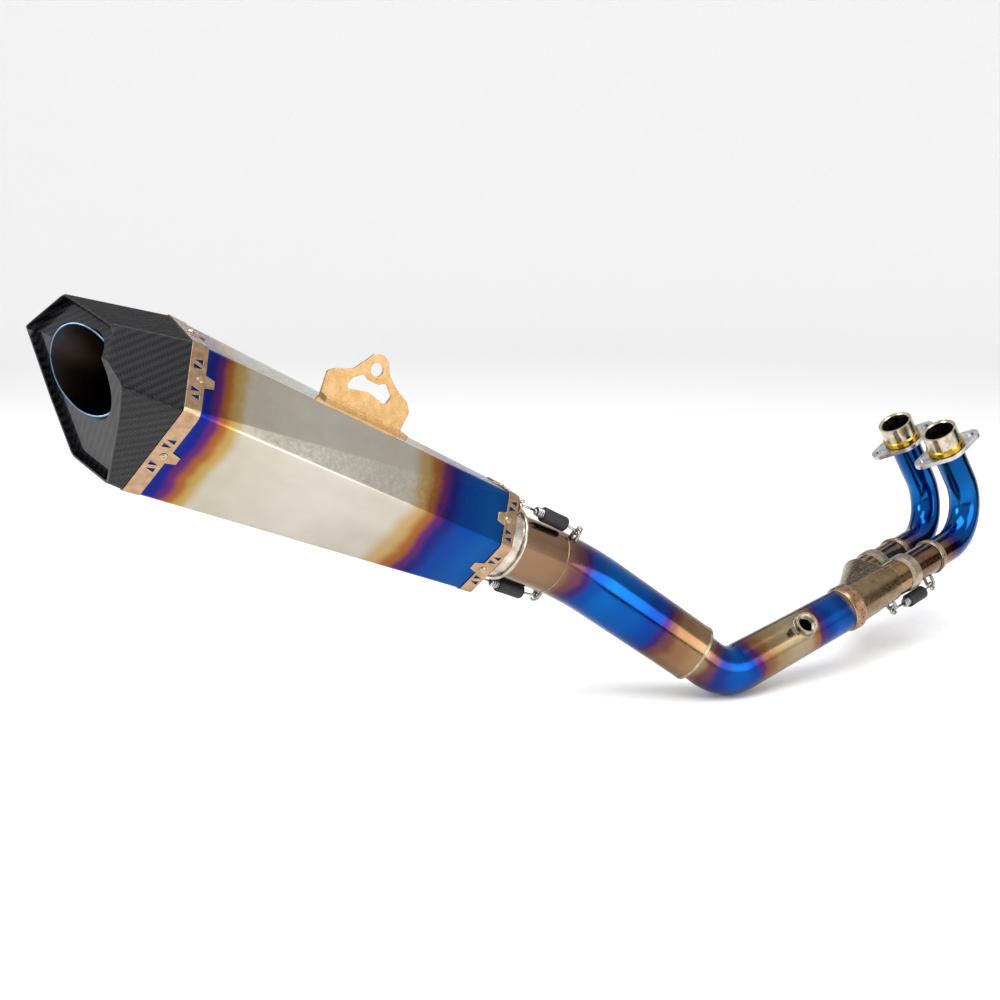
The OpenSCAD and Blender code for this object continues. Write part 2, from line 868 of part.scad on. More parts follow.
end_cap();
outlet_tube();
rear_band();
rear_rivets();
muffler_sleeve();
front_band();
front_rivets();
front_cap();
inlet_socket();
core_tube();
packing();
rear_plate();
hanger_bracket();
muffler_hooks();
link_pipe();
link_hooks();
muffler_springs();
muffler_spring_sleeves();
link_step_ring();
link_seam();
mid_pipe();
lambda_bung();
sensor_tab();
collector_ring();
collector();
socket_near();
socket_far();
socket_lip_near();
socket_lip_far();
collector_hooks();
header_spring_near();
header_spring_far();
spring_sleeve_near();
spring_sleeve_far();
header_near();
stub_near();
stub_weld_near();
header_hook_near();
collar_near();
spigot_near();
flange_near();
header_far();
stub_far();
stub_weld_far();
header_hook_far();
collar_far();
spigot_far();
flange_far();
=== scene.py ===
"""Looks of a two-into-one racing exhaust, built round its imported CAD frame.

Every size below is in millimetres along the frame's own axes. Meshes are made
in metres. Pieces that the CAD holds as plain solids, such as the springs, are
replaced by shaped ones; all the others keep their CAD mesh and get a finish.
"""

import logging
import math
from dataclasses import dataclass, field
from enum import Enum
from typing import Protocol, Sequence, Union

import bmesh
import bpy
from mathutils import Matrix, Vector


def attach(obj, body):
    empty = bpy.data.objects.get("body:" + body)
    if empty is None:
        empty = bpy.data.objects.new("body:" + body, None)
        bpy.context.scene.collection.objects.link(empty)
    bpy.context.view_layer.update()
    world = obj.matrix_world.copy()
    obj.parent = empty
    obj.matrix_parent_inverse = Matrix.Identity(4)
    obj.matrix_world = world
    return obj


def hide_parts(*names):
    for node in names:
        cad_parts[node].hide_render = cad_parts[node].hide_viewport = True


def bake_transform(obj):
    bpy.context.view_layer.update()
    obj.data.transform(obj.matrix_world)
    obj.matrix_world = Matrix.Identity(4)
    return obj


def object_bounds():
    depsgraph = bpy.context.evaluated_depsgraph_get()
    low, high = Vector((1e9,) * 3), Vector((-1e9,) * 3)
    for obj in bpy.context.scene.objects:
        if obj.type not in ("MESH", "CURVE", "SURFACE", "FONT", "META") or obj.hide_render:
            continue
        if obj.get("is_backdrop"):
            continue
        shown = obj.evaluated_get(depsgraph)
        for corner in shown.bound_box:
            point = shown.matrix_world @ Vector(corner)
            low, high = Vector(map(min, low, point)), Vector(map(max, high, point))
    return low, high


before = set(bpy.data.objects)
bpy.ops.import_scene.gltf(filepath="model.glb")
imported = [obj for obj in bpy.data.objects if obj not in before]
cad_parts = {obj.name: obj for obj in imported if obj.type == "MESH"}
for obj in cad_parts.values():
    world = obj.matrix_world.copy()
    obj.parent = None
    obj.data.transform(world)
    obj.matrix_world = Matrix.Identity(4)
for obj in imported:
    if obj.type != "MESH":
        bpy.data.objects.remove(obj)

LOG = logging.getLogger("exhaust")
MM = 0.001

Stops = tuple[tuple[float, str], ...]
Value = Union[float, bpy.types.NodeSocket]


class Body(Enum):
    """The CAD bodies that a piece can ride on."""

    PIPE = "pipe"
    MUFFLER = "muffler"
    HEADER_NEAR = "header_near"
    HEADER_FAR = "header_far"


# --- vectors and colour ------------------------------------------------------


def vec(x: float, y: float, z: float) -> Vector:
    """Makes a vector.

    Args:
        x: First part.
        y: Second part.
        z: Third part.

    Returns:
        The vector.
    """
    return Vector((x, y, z))


def unit(v: Vector) -> Vector:
    """Scales a vector to length one.

    Args:
        v: Any vector that isn't zero.

    Returns:
        The unit vector along it.
    """
    return v.normalized()


def flat_of(v: Vector, normal: Vector) -> Vector:
    """Takes the part of a vector that lies across another.

    Args:
        v: The vector to flatten.
        normal: Unit vector to take out of it.

    Returns:
        The unit vector across normal.
    """
    return unit(v - normal * v.dot(normal))


def side_of(axis: Vector) -> Vector:
    """Finds some direction across an axis.

    Args:
        axis: Unit vector.

    Returns:
        A unit vector across it.
    """
    return flat_of(vec(1, 0, 0) if abs(axis.x) < 0.8 else vec(0, 1, 0), axis)


def linear(hex_colour: str) -> tuple[float, float, float, float]:
    """Turns an sRGB hex colour into linear light.

    Args:
        hex_colour: Such as "#b98a52".

    Returns:
        Linear red, green, blue, and an alpha of one.
    """
    parts = [int(hex_colour[i : i + 2], 16) / 255 for i in (1, 3, 5)]
    light = [c / 12.92 if c <= 0.04045 else ((c + 0.055) / 1.055) ** 2.4 for c in parts]
    return light[0], light[1], light[2], 1.0


# --- layout shared by several pieces -----------------------------------------


@dataclass(frozen=True)
class Layout:
    """Places and directions that the CAD frame is laid out on."""

    port_tilt: float = 33.0
    port_pitch: float = 70.0
    ring_at: Vector = field(default_factory=lambda: vec(-195, -55, -152))
    far_join: Vector = field(default_factory=lambda: vec(-122, 3, -140))
    mid_corner: Vector = field(default_factory=lambda: vec(-366, -62, -199))
    link_low: Vector = field(default_factory=lambda: vec(-396, -47, -172))
    muffler_at: Vector = field(default_factory=lambda: vec(-611, -1, -34))
    muffler_end: Vector = field(default_factory=lambda: vec(-924, -7, 117))

    @property
    def port_down(self) -> Vector:
        """Direction down a port's axis."""
        tilt = math.radians(self.port_tilt)
        return vec(math.sin(tilt), 0, -math.cos(tilt))

    @property
    def axis(self) -> Vector:
        """Direction along the muffler, towards its outlet."""
        return unit(self.muffler_end - self.muffler_at)

    @property
    def out(self) -> Vector:
        """Direction out of the muffler's outboard side."""
        return unit(vec(-self.axis.y, self.axis.x, 0))

    @property
    def up(self) -> Vector:
        """Direction up across the muffler."""
        return self.axis.cross(self.out)

    @property
    def mid_run(self) -> Vector:
        """Direction along the mid pipe, away from the collector."""
        return unit(self.mid_corner - self.ring_at)

    def muffler_point(self, x: float, y: float, z: float) -> Vector:
        """Turns a place in the muffler's own axes into the frame's.

        Args:
            x: Distance outboard.
            y: Distance up.
            z: Distance along the muffler.

        Returns:
            The place in the frame.
        """
        return self.muffler_at + self.out * x + self.up * y + self.axis * z


LAYOUT = Layout()


# --- material nodes ----------------------------------------------------------


class Graph:
    """One material's node tree, with short calls that fill it."""

    def __init__(self, name: str) -> None:
        """Starts a material with one principled shader.

        Args:
            name: The material's name.
        """
        self.material = bpy.data.materials.new(name)
        self.material.use_nodes = True
        self.tree = self.material.node_tree
        self.tree.nodes.clear()
        self.shader = self.add("ShaderNodeBsdfPrincipled")
        self.add("ShaderNodeOutputMaterial", {"Surface": self.shader.outputs["BSDF"]})
        here = self.add("ShaderNodeTexCoord").outputs["Object"]
        scale = {0: here, 3: 1 / MM}
        self.place = self.add("ShaderNodeVectorMath", scale, operation="SCALE").outputs[0]

    def add(self, kind: str, inputs: dict | None = None, **settings: object) -> bpy.types.Node:
        """Adds a node, sets it up and fills its inputs.

        Args:
            kind: The node's type.
            inputs: Input name or number to a plain value or an output socket.
            **settings: Attributes to set on the node.

        Returns:
            The new node.
        """
        node = self.tree.nodes.new(kind)
        for name, value in settings.items():
            setattr(node, name, value)
        for key, value in (inputs or {}).items():
            if isinstance(value, bpy.types.NodeSocket):
                self.tree.links.new(value, node.inputs[key])
            else:
                node.inputs[key].default_value = value
        return node

    def math(self, operation: str, a: Value, b: Value = 0.0, c: Value = 0.0) -> bpy.types.NodeSocket:
        """Adds a sum of up to three numbers.

        Args:
            operation: Blender's name for it.
            a: First number.
            b: Second number.
            c: Third number.

        Returns:
            The result's socket.
        """
        return self.add("ShaderNodeMath", {0: a, 1: b, 2: c}, operation=operation).outputs[0]

    def along(self, direction: Vector, origin: Vector) -> bpy.types.NodeSocket:
        """Measures how far the shaded point lies along a direction.

        Args:
            direction: Unit vector.
            origin: Where the measure is zero.

        Returns:
            The distance's socket.
        """
        dot = self.add("ShaderNodeVectorMath", {0: self.place, 1: direction}, operation="DOT_PRODUCT")
        return self.math("SUBTRACT", dot.outputs["Value"], direction.dot(origin))

    def noise(self, grain: float, detail: float = 2.0) -> bpy.types.NodeSocket:
        """Adds noise of a real size.

        Args:
            grain: Size of one lump.
            detail: How many finer layers it has.

        Returns:
            The noise's socket, about 0.5 on average.
        """
        inputs = {"Vector": self.place, "Scale": 1 / grain, "Detail": detail}
        return self.add("ShaderNodeTexNoise", inputs).outputs["Fac"]

    def remap(self, value: Value, low: float, high: float) -> bpy.types.NodeSocket:
        """Stretches noise between two limits.

        Args:
            value: The noise.
            low: Result at 0.3.
            high: Result at 0.7.

        Returns:
            The stretched value's socket.
        """
        inputs = {"Value": value, "From Min": 0.3, "From Max": 0.7, "To Min": low, "To Max": high}
        return self.add("ShaderNodeMapRange", inputs).outputs["Result"]

    def ramp(self, value: Value, stops: Stops) -> bpy.types.NodeSocket:
        """Colours a distance.

        Args:
            value: Distance's socket.
            stops: Distances in rising order, each with its colour.

        Returns:
            The colour's socket.
        """
        first, last = stops[0][0], stops[-1][0]
        inputs = {"Value": value, "From Min": first, "From Max": last}
        share = self.add("ShaderNodeMapRange", inputs).outputs["Result"]
        node = self.add("ShaderNodeValToRGB", {"Fac": share})
        node.color_ramp.interpolation = "EASE"
        elements = node.color_ramp.elements
        for i, (at, colour) in enumerate(stops):
            where = (at - first) / (last - first)
            element = elements[i] if i < 2 else elements.new(where)
            element.position = where
            element.color = linear(colour)
        return node.outputs["Color"]

    def mix(self, share: Value, a: object, b: object) -> bpy.types.NodeSocket:
        """Mixes two colours.

        Args:
            share: How much of the second, from 0 to 1.
            a: First colour or socket.
            b: Second colour or socket.

        Returns:
            The mixed colour's socket.
        """
        node = self.add("ShaderNodeMix", {"Factor": share, 6: a, 7: b}, data_type="RGBA")
        return node.outputs[2]

    def bump(self, height: Value, depth: float, bevel: float = 0.0) -> None:
        """Raises the surface and, if asked, softens its edges.

        Args:
            height: Height from 0 to 1.
            depth: Real height in millimetres at 1.
            bevel: Radius that edges are softened to.
        """
        inputs = {"Height": height, "Distance": depth * MM, "Strength": 1.0}
        if bevel:
            inputs["Normal"] = self.add("ShaderNodeBevel", {"Radius": bevel * MM}, samples=16).outputs[0]
        self.feed("Normal", self.add("ShaderNodeBump", inputs).outputs["Normal"])

    def feed(self, name: str, value: object) -> None:
        """Sets or links one input of the shader.

        Args:
            name: The input's name.
            value: A plain value or an output socket.
        """
        if isinstance(value, bpy.types.NodeSocket):
            self.tree.links.new(value, self.shader.inputs[name])
        else:
            self.shader.inputs[name].default_value = value


class Ruler(Protocol):
    """Measures distance along a piece in its material."""

    def measure(self, graph: Graph) -> bpy.types.NodeSocket:
        """Adds the nodes that measure.

        Args:
            graph: The material's tree.

        Returns:
            The distance's socket.
        """


@dataclass(frozen=True)
class AxisRuler:
    """Measures straight along an axis."""

    origin: Vector
    axis: Vector

    def measure(self, graph: Graph) -> bpy.types.NodeSocket:
        """Adds the nodes that measure.

        Args:
            graph: The material's tree.

        Returns:
            The distance's socket.
        """
        return graph.along(self.axis, self.origin)


@dataclass(frozen=True)
class BendRuler:
    """Measures along a pipe with two straight legs and one bend."""

    start: Vector
    corner: Vector
    end: Vector
    bend: float

    def measure(self, graph: Graph) -> bpy.types.NodeSocket:
        """Adds the nodes that measure, leg by leg.

        Args:
            graph: The material's tree.

        Returns:
            The distance's socket.
        """
        u, v = unit(self.corner - self.start), unit(self.end - self.corner)
        turn = u.angle(v)
        back = self.bend * math.tan(turn / 2)
        bend_start = self.corner - u * back
        hub = self.corner + unit(v - u) * math.hypot(back, self.bend)
        forward = graph.along(u, hub)
        outward = graph.along(unit(bend_start - hub), hub)
        angle = graph.math("ARCTAN2", forward, outward)
        angle = graph.math("MINIMUM", graph.math("MAXIMUM", angle, 0.0), turn)
        before = graph.math("MINIMUM", forward, 0.0)
        after = graph.math("MAXIMUM", graph.along(v, hub), 0.0)
        straight = graph.math("ADD", before, after)
        lead = graph.math("ADD", straight, (bend_start - self.start).length)
        return graph.math("MULTIPLY_ADD", angle, self.bend, lead)


# --- finishes ----------------------------------------------------------------


class Finish(Protocol):
    """A surface that can be made into a material."""

    def build(self) -> bpy.types.Material:
        """Makes the material.

        Returns:
            The material.
        """


@dataclass(frozen=True)
class HeatTint:
    """Titanium coloured by torch heat along its length, then hand polished.

    The oxide shows as bands of straw, purple and blue with uneven edges. The
    metal below stays mirror-like, with faint lengthwise rubbing marks.
    """

    name: str
    ruler: Ruler
    stops: Stops
    roughness: float = 0.2
    wobble: float = 9.0
    bevel: float = 0.0

    def build(self) -> bpy.types.Material:
        """Makes the material.

        Returns:
            The material.
        """
        g = Graph(self.name)
        drift = g.remap(g.noise(38.0, 3.0), -self.wobble, self.wobble)
        tint = g.ramp(g.math("ADD", self.ruler.measure(g), drift), self.stops)
        shade = g.remap(g.noise(26.0), 0.0, 0.09)
        g.feed("Base Color", g.mix(shade, tint, linear("#2c2520")))
        g.feed("Metallic", 1.0)
        rubbed = g.remap(g.noise(3.5, 4.0), -0.05, 0.06)
        g.feed("Roughness", g.math("ADD", rubbed, self.roughness))
        g.bump(g.noise(1.1, 3.0), 0.012, self.bevel)
        return g.material


@dataclass(frozen=True)
class Metal:
    """Bare or tinted metal with one colour, turned, drawn or blasted.

    Two near shades drift into each other, and the bump's grain says how the
    surface was made: fine for turned and drawn parts, coarse for weld scale.
    """

    name: str
    light: str
    dark: str
    roughness: float = 0.26
    grain: float = 1.2
    depth: float = 0.015
    bevel: float = 0.0

    def build(self) -> bpy.types.Material:
        """Makes the material.

        Returns:
            The material.
        """
        g = Graph(self.name)
        drift = g.remap(g.noise(9.0, 3.0), 0.0, 1.0)
        g.feed("Base Color", g.mix(drift, linear(self.light), linear(self.dark)))
        g.feed("Metallic", 1.0)
        g.feed("Roughness", g.math("ADD", g.remap(g.noise(4.0), -0.07, 0.07), self.roughness))
        g.bump(g.noise(self.grain, 3.0), self.depth, self.bevel)
        return g.material


@dataclass(frozen=True)
class Dull:
    """Rubber or wool: no metal, soft sheen, a fine rough grain."""

    name: str
    light: str
    dark: str
    roughness: float
    grain: float
    depth: float

    def build(self) -> bpy.types.Material:
        """Makes the material.

        Returns:
            The material.
        """
        g = Graph(self.name)
        drift = g.remap(g.noise(6.0), 0.0, 1.0)
        g.feed("Base Color", g.mix(drift, linear(self.light), linear(self.dark)))
        g.feed("Roughness", g.math("ADD", g.remap(g.noise(3.0), -0.08, 0.08), self.roughness))
        g.bump(g.noise(self.grain, 3.0), self.depth)
        return g.material


@dataclass(frozen=True)
class CarbonTwill:
    """Two-by-two twill carbon under a thick polished clear coat.

    The weave is laid flat on every face of the cap. Each tow is a low ridge, and tows
    of one direction are painted lighter than the other: a painted sheen for how they catch light.
    """

    name: str
    faces: tuple[tuple[Vector, Vector, Vector], ...]
    tow: float = 2.3
    # Painted sheen: the two colours are for tows of the two directions, one painted lighter than the other.
    light: str = "#1f2023"
    dark: str = "#060607"

    def build(self) -> bpy.types.Material:
        """Makes the material.

        Returns:
            The material.
        """
        g = Graph(self.name)
        facing_out = {0: g.add("ShaderNodeNewGeometry").outputs["True Normal"]}
        turned = {"vector_type": "NORMAL", "convert_from": "WORLD", "convert_to": "OBJECT"}
        normal = g.add("ShaderNodeVectorTransform", facing_out, **turned).outputs[0]
        best: Value = -2.0
        u: Value = 0.0
        v: Value = 0.0
        for facing, across, along in self.faces:
            dot = g.add("ShaderNodeVectorMath", {0: normal, 1: facing}, operation="DOT_PRODUCT")
            near = dot.outputs["Value"]
            wins = g.math("GREATER_THAN", near, best)
            best = g.math("MAXIMUM", near, best)
            u = self.pick(g, wins, u, g.along(across, LAYOUT.muffler_at))
            v = self.pick(g, wins, v, g.along(along, LAYOUT.muffler_at))
        u, v = g.math("DIVIDE", u, self.tow), g.math("DIVIDE", v, self.tow)
        step = g.math("SUBTRACT", g.math("FLOOR", u), g.math("FLOOR", v))
        over = g.math("LESS_THAN", g.math("FLOORED_MODULO", step, 4.0), 2.0)
        ridge = self.pick(g, over, self.arch(g, u), self.arch(g, v))
        # Painted sheen: tows of one direction get the lighter colour, tows of the other the darker.
        tows = g.mix(over, linear(self.light), linear(self.dark))
        groove = g.math("MULTIPLY", g.math("SUBTRACT", 1.0, ridge), 0.7)
        g.feed("Base Color", g.mix(groove, tows, linear("#050506")))
        g.feed("Specular IOR Level", 0.05)
        g.feed("Roughness", g.remap(g.noise(7.0, 3.0), 0.3, 0.42))
        g.feed("Coat Weight", 0.5)
        g.feed("Coat Roughness", g.remap(g.noise(22.0), 0.02, 0.07))
        g.bump(ridge, 0.06, 1.6)
        return g.material

    @staticmethod
    def pick(g: Graph, wins: Value, old: Value, new: Value) -> bpy.types.NodeSocket:
        """Takes the new number where a test holds.

        Args:
            g: The material's tree.
            wins: 1 where the new number counts, else 0.
            old: Number kept where the test fails.
            new: Number taken where it holds.

        Returns:
            The picked number's socket.
        """
        return g.math("MULTIPLY_ADD", g.math("SUBTRACT", new, old), wins, old)

    @staticmethod
    def arch(g: Graph, across: Value) -> bpy.types.NodeSocket:
        """Shapes one tow's rounded back.

        Args:
            g: The material's tree.
            across: Place across the tows, one tow to the unit.

        Returns:
            Height from 0 at a tow's edges to 1 along its middle.
        """
        return g.math("SINE", g.math("MULTIPLY", g.math("FRACT", across), math.pi))


class Palette:
    """Finishes used on more than one piece, made once each."""

    # Drawn wire: a fine grain, with a bright line along each turn.
    SPRING = Metal("steel_drawn_spring_wire", "#c3c6ca", "#8f9296", 0.24, 0.8, 0.01)
    # Moulded rubber: nearly black, soft and dull, finely grained.
    RUBBER = Dull("rubber_moulded_sleeve", "#1c1c1e", "#0c0c0d", 0.62, 0.5, 0.03)
    # A brushed bead: each ripple catches its own small light.
    WELD = Metal("titanium_weld_bead_brushed", "#b3a796", "#7d7264", 0.3, 1.6, 0.06)
    # Blasted ring: pale and even, with no sharp reflections.
    FROST = Metal("titanium_blasted_ring", "#b8aa96", "#8c7d6a", 0.36, 0.7, 0.03)
    # Drawn wire, browned by the weld's heat.
    HOOK = Metal("titanium_drawn_hook_wire", "#a79c8d", "#6d6357", 0.25, 0.9, 0.01)
    # Laser-cut sheet with a light bronze film, almost a mirror.
    BAND = Metal("titanium_bronze_laser_cut_band", "#b39478", "#94785c", 0.22, 1.0, 0.012, 0.4)
    # Pressed rivet: smooth, with soft edges.
    RIVET = Metal("titanium_pressed_rivet", "#cbb89b", "#8d7a60", 0.26, 0.9, 0.012)
    # Rolled lip: bright and clean, least touched by heat.
    SOCKET = Metal("titanium_rolled_inlet_lip", "#d4cbbd", "#a1968a", 0.24, 1.0, 0.012)
    # Perforated steel gone grey and dull with soot.
    CORE = Metal("steel_perforated_core", "#8f8a82", "#55504a", 0.42, 1.4, 0.03)
    # Packed glass wool: pale, loose and without shine.
    WOOL = Dull("glass_wool_packing", "#d9d0b0", "#a79c78", 0.9, 1.5, 0.4)
    # Anodised plate: satin gold, even over its faces.
    GOLD = Metal("titanium_gold_anodised_plate", "#c4a072", "#b08a5a", 0.28, 0.9, 0.012, 0.5)
    # Turned boss: fine rings that stretch the light.
    BUNG = Metal("titanium_turned_bung", "#d3c8b4", "#93866f", 0.22, 0.8, 0.012, 0.4)
    # Rolled ring with a copper film, worn in spots.
    RING = Metal("titanium_copper_rolled_ring", "#a58264", "#80604a", 0.27, 1.0, 0.015)
    # Formed sheet browned by heat, with broad soft lights.
    COLLECTOR = Metal("titanium_olive_formed_collector", "#8a7556", "#715d42", 0.25, 1.4, 0.015, 2.5)
    # Polished tube with a bronze film and sharp streaks of light.
    BRANCH = Metal("titanium_bronze_polished_socket", "#a1835c", "#7d6243", 0.17, 1.1, 0.012)
    # Polished tube with a darker brown film.
    STUB = Metal("titanium_brown_polished_stub", "#7f6046", "#5e4534", 0.18, 1.1, 0.012)
    # Turned collar with an amber film.
    COLLAR = Metal("titanium_gold_turned_collar", "#d3a740", "#8d6a24", 0.2, 0.7, 0.01)
    # Turned steel: warm, bright and nearly a mirror.
    SPIGOT = Metal("steel_turned_spigot", "#d2cab8", "#9b907a", 0.2, 0.7, 0.012)
    # Plasma-cut plate: satin faces with edges a little rough.
    FLANGE = Metal("steel_plasma_cut_flange", "#d3d4d5", "#9fa0a1", 0.3, 1.0, 0.02, 0.5)

    made: dict[str, bpy.types.Material] = {}

    @classmethod
    def get(cls, finish: Finish) -> bpy.types.Material:
        """Makes a finish's material, or finds it again.

        Args:
            finish: Any finish.

        Returns:
            Its material.
        """
        name = finish.name
        if name not in cls.made:
            cls.made[name] = finish.build()
        return cls.made[name]


# --- meshes ------------------------------------------------------------------


def dress(node: str, finish: Finish) -> None:
    """Gives a CAD node its finish.

    Args:
        node: The node's name.
        finish: The finish.
    """
    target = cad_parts[node]
    for holder in target.material_slots:
        holder.material = Palette.get(finish)
    LOG.info("dressed %s in %s", node, finish.name)


def make_piece(name: str, mesh: bmesh.types.BMesh, finish: Finish) -> bpy.types.Object:
    """Turns a finished bmesh into a smooth object with a material.

    Args:
        name: The piece's name.
        mesh: The mesh, in metres; it is freed.
        finish: The piece's finish.

    Returns:
        The object.
    """
    bmesh.ops.recalc_face_normals(mesh, faces=mesh.faces)
    for face in mesh.faces:
        face.smooth = True
    data = bpy.data.meshes.new(name)
    mesh.to_mesh(data)
    mesh.free()
    piece = bpy.data.objects.new(name, data)
    bpy.context.scene.collection.objects.link(piece)
    data.materials.append(Palette.get(finish))
    LOG.info("built %s with %d faces", name, len(data.polygons))
    return piece


def sweep(path: Sequence[Vector], radii: Sequence[float], sides: int, closed: bool) -> bmesh.types.BMesh:
    """Draws a round wire along a path.

    Args:
        path: Points of the wire's centre line.
        radii: The wire's radius at each point.
        sides: Sides of its cross-section.
        closed: Whether the path runs back to its start.

    Returns:
        The wire's mesh, in metres.
    """
    mesh = bmesh.new()
    count = len(path)
    rings: list[list[bmesh.types.BMVert]] = []
    across = Vector()
    for i, at in enumerate(path):
        ahead = path[(i + 1) % count] if closed or i + 1 < count else at
        behind = path[i - 1] if closed or i else at
        run = unit(ahead - behind)
        across = flat_of(across, run) if i else side_of(run)
        lift = run.cross(across)
        turns = [2 * math.pi * k / sides for k in range(sides)]
        ring = [at + (across * math.cos(t) + lift * math.sin(t)) * radii[i] for t in turns]
        rings.append([mesh.verts.new(p * MM) for p in ring])
    for a, b in zip(rings, rings[1:]):
        for k in range(sides):
            mesh.faces.new((a[k], a[(k + 1) % sides], b[(k + 1) % sides], b[k]))
    if closed:
        join_rings(mesh, rings[-1], rings[0])
    else:
        mesh.faces.new(rings[0])
        mesh.faces.new(rings[-1])
    return mesh


def join_rings(mesh: bmesh.types.BMesh, a: list[bmesh.types.BMVert], b: list[bmesh.types.BMVert]) -> None:
    """Joins the last ring of a closed wire to its first with the least twist.

    Args:
        mesh: The wire's mesh.
        a: The last ring.
        b: The first ring.
    """
    sides = len(a)
    shift = min(range(sides), key=lambda s: (a[0].co - b[s].co).length)
    for k in range(sides):
        here, there = (k + shift) % sides, (k + 1 + shift) % sides
        mesh.faces.new((a[k], a[(k + 1) % sides], b[there], b[here]))


def lathe(profile: Sequence[tuple[float, float]], at: Vector, axis: Vector, steps: int) -> bmesh.types.BMesh:
    """Turns a closed outline round an axis.

    Args:
        profile: Points as distance along the axis and radius.
        at: Where the axis distance is zero.
        axis: Unit vector.
        steps: Steps round the axis.

    Returns:
        The turned mesh, in metres.
    """
    mesh = bmesh.new()
    x = side_of(axis)
    y = axis.cross(x)
    rings = []
    for k in range(steps):
        turn = 2 * math.pi * k / steps
        out = x * math.cos(turn) + y * math.sin(turn)
        rings.append([mesh.verts.new((at + axis * z + out * r) * MM) for z, r in profile])
    for k, a in enumerate(rings):
        b = rings[(k + 1) % steps]
        for i in range(len(profile)):
            j = (i + 1) % len(profile)
            mesh.faces.new((a[i], a[j], b[j], b[i]))
    return mesh


@dataclass(frozen=True)
class WeldBead:
    """A hand-laid weld: small overlapping ripples round a joint."""

    name: str
    path: tuple[Vector, ...]
    size: float = 1.0
    ripple: float = 0.16

    def build(self, body: Body, replaces: Sequence[str] = ()) -> bpy.types.Object:
        """Lays the bead.

        Args:
            body: The body that it rides on.
            replaces: CAD nodes that it stands for.

        Returns:
            The bead.
        """
        waves = [1 + self.ripple * math.sin(2 * math.pi * i / 4) for i in range(len(self.path))]
        mesh = sweep(self.path, [self.size * w for w in waves], 8, True)
        piece = make_piece(self.name, mesh, Palette.WELD)
        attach(piece, body.value)
        if replaces:
            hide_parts(*replaces)
        return piece


def ring_path(at: Vector, axis: Vector, radius: float, pitch: float = 2.4) -> tuple[Vector, ...]:
    """Makes a circle of points for a weld, four to a ripple.

    Args:
        at: The circle's centre.
        axis: Unit vector through it.
        radius: The circle's radius.
        pitch: Length of one ripple.

    Returns:
        The points.
    """
    x = side_of(axis)
    y = axis.cross(x)
    count = 4 * round(2 * math.pi * radius / pitch)
    turns = [2 * math.pi * i / count for i in range(count)]
    return tuple(at + (x * math.cos(t) + y * math.sin(t)) * radius for t in turns)


@dataclass(frozen=True)
class Spring:
    """A close-wound tension spring with an eye at each end, in a rubber sleeve."""

    name: str
    start: Vector
    end: Vector
    out: Vector
    wire: float = 1.3
    coil: float = 3.7
    coil_half: float = 19.0
    eye: float = 4.2
    turns: int = 14
    sleeve_r: float = 7.6
    sleeve_half: float = 15.0
    sleeve_shift: float = 5.0
    sleeve_bore: float = 5.3
    waist: float = 0.2

    @property
    def run(self) -> Vector:
        """Direction from the first eye to the second."""
        return unit(self.end - self.start)

    @property
    def middle(self) -> Vector:
        """Middle of the coil."""
        return (self.start + self.end) / 2

    def eye_path(self, centre: Vector, inward: Vector) -> list[Vector]:
        """Bends one eye, from its tip round to the shank.

        Args:
            centre: The eye's centre.
            inward: Unit vector towards the coil.

        Returns:
            Points from the wire's tip to its shank.
        """
        turns = [math.radians(a) for a in range(-320, -19, 15)]
        loop = [centre + (inward * math.cos(t) + self.out * math.sin(t)) * self.eye for t in turns]
        return loop + [centre + inward * (self.eye + 1.6) - self.out * 0.4]

    def coil_path(self) -> list[Vector]:
        """Winds the coil, with each end closing in to the shank.

        Returns:
            Points along the coil.
        """
        side = self.run.cross(self.out)
        per_turn = 18
        count = self.turns * per_turn
        points = []
        for i in range(count + 1):
            share = i / count
            ease = min(1.0, min(share, 1 - share) * self.turns * 1.6)
            turn = 2 * math.pi * i / per_turn
            swing = (self.out * math.cos(turn) + side * math.sin(turn)) * self.coil * ease
            points.append(self.middle + self.run * self.coil_half * (2 * share - 1) + swing)
        return points

    def build(self, first: Body, second: Body, node: str) -> bpy.types.Object:
        """Winds the spring between two bodies.

        Args:
            first: The body that holds the start; not used.
            second: The body that holds the end; not used.
            node: The CAD node that it stands for.

        Returns:
            The spring.
        """
        path = self.eye_path(self.start, self.run) + self.coil_path()
        path += self.eye_path(self.end, -self.run)[::-1]
        wire = sweep(path, [self.wire] * len(path), 10, False)
        piece = make_piece(self.name, wire, Palette.SPRING)
        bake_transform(piece)
        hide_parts(node)
        return piece

    def build_sleeve(self, body: Body, node: str) -> bpy.types.Object:
        """Moulds the rubber sleeve, with rounded ends and a slight waist.

        Args:
            body: The body that it rides on.
            node: The CAD node that it stands for.

        Returns:
            The sleeve.
        """
        half, r, bore = self.sleeve_half, self.sleeve_r, self.sleeve_bore
        outer = [(half, r - 1.4), (half - 0.4, r - 0.6), (half - 1.4, r)]
        outer += [(half * 0.5, r - 0.12), (0.0, r - self.waist)]
        mirror = [(-z, radius) for z, radius in outer[:-1]]
        profile = outer + mirror[::-1] + [(-half, bore), (half, bore)]
        name = self.name + "_sleeve"
        centre = self.middle + self.run * self.sleeve_shift
        piece = make_piece(name, lathe(profile, centre, self.run, 40), Palette.RUBBER)
        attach(piece, body.value)
        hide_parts(node)
        return piece


# --- sub-assemblies ----------------------------------------------------------


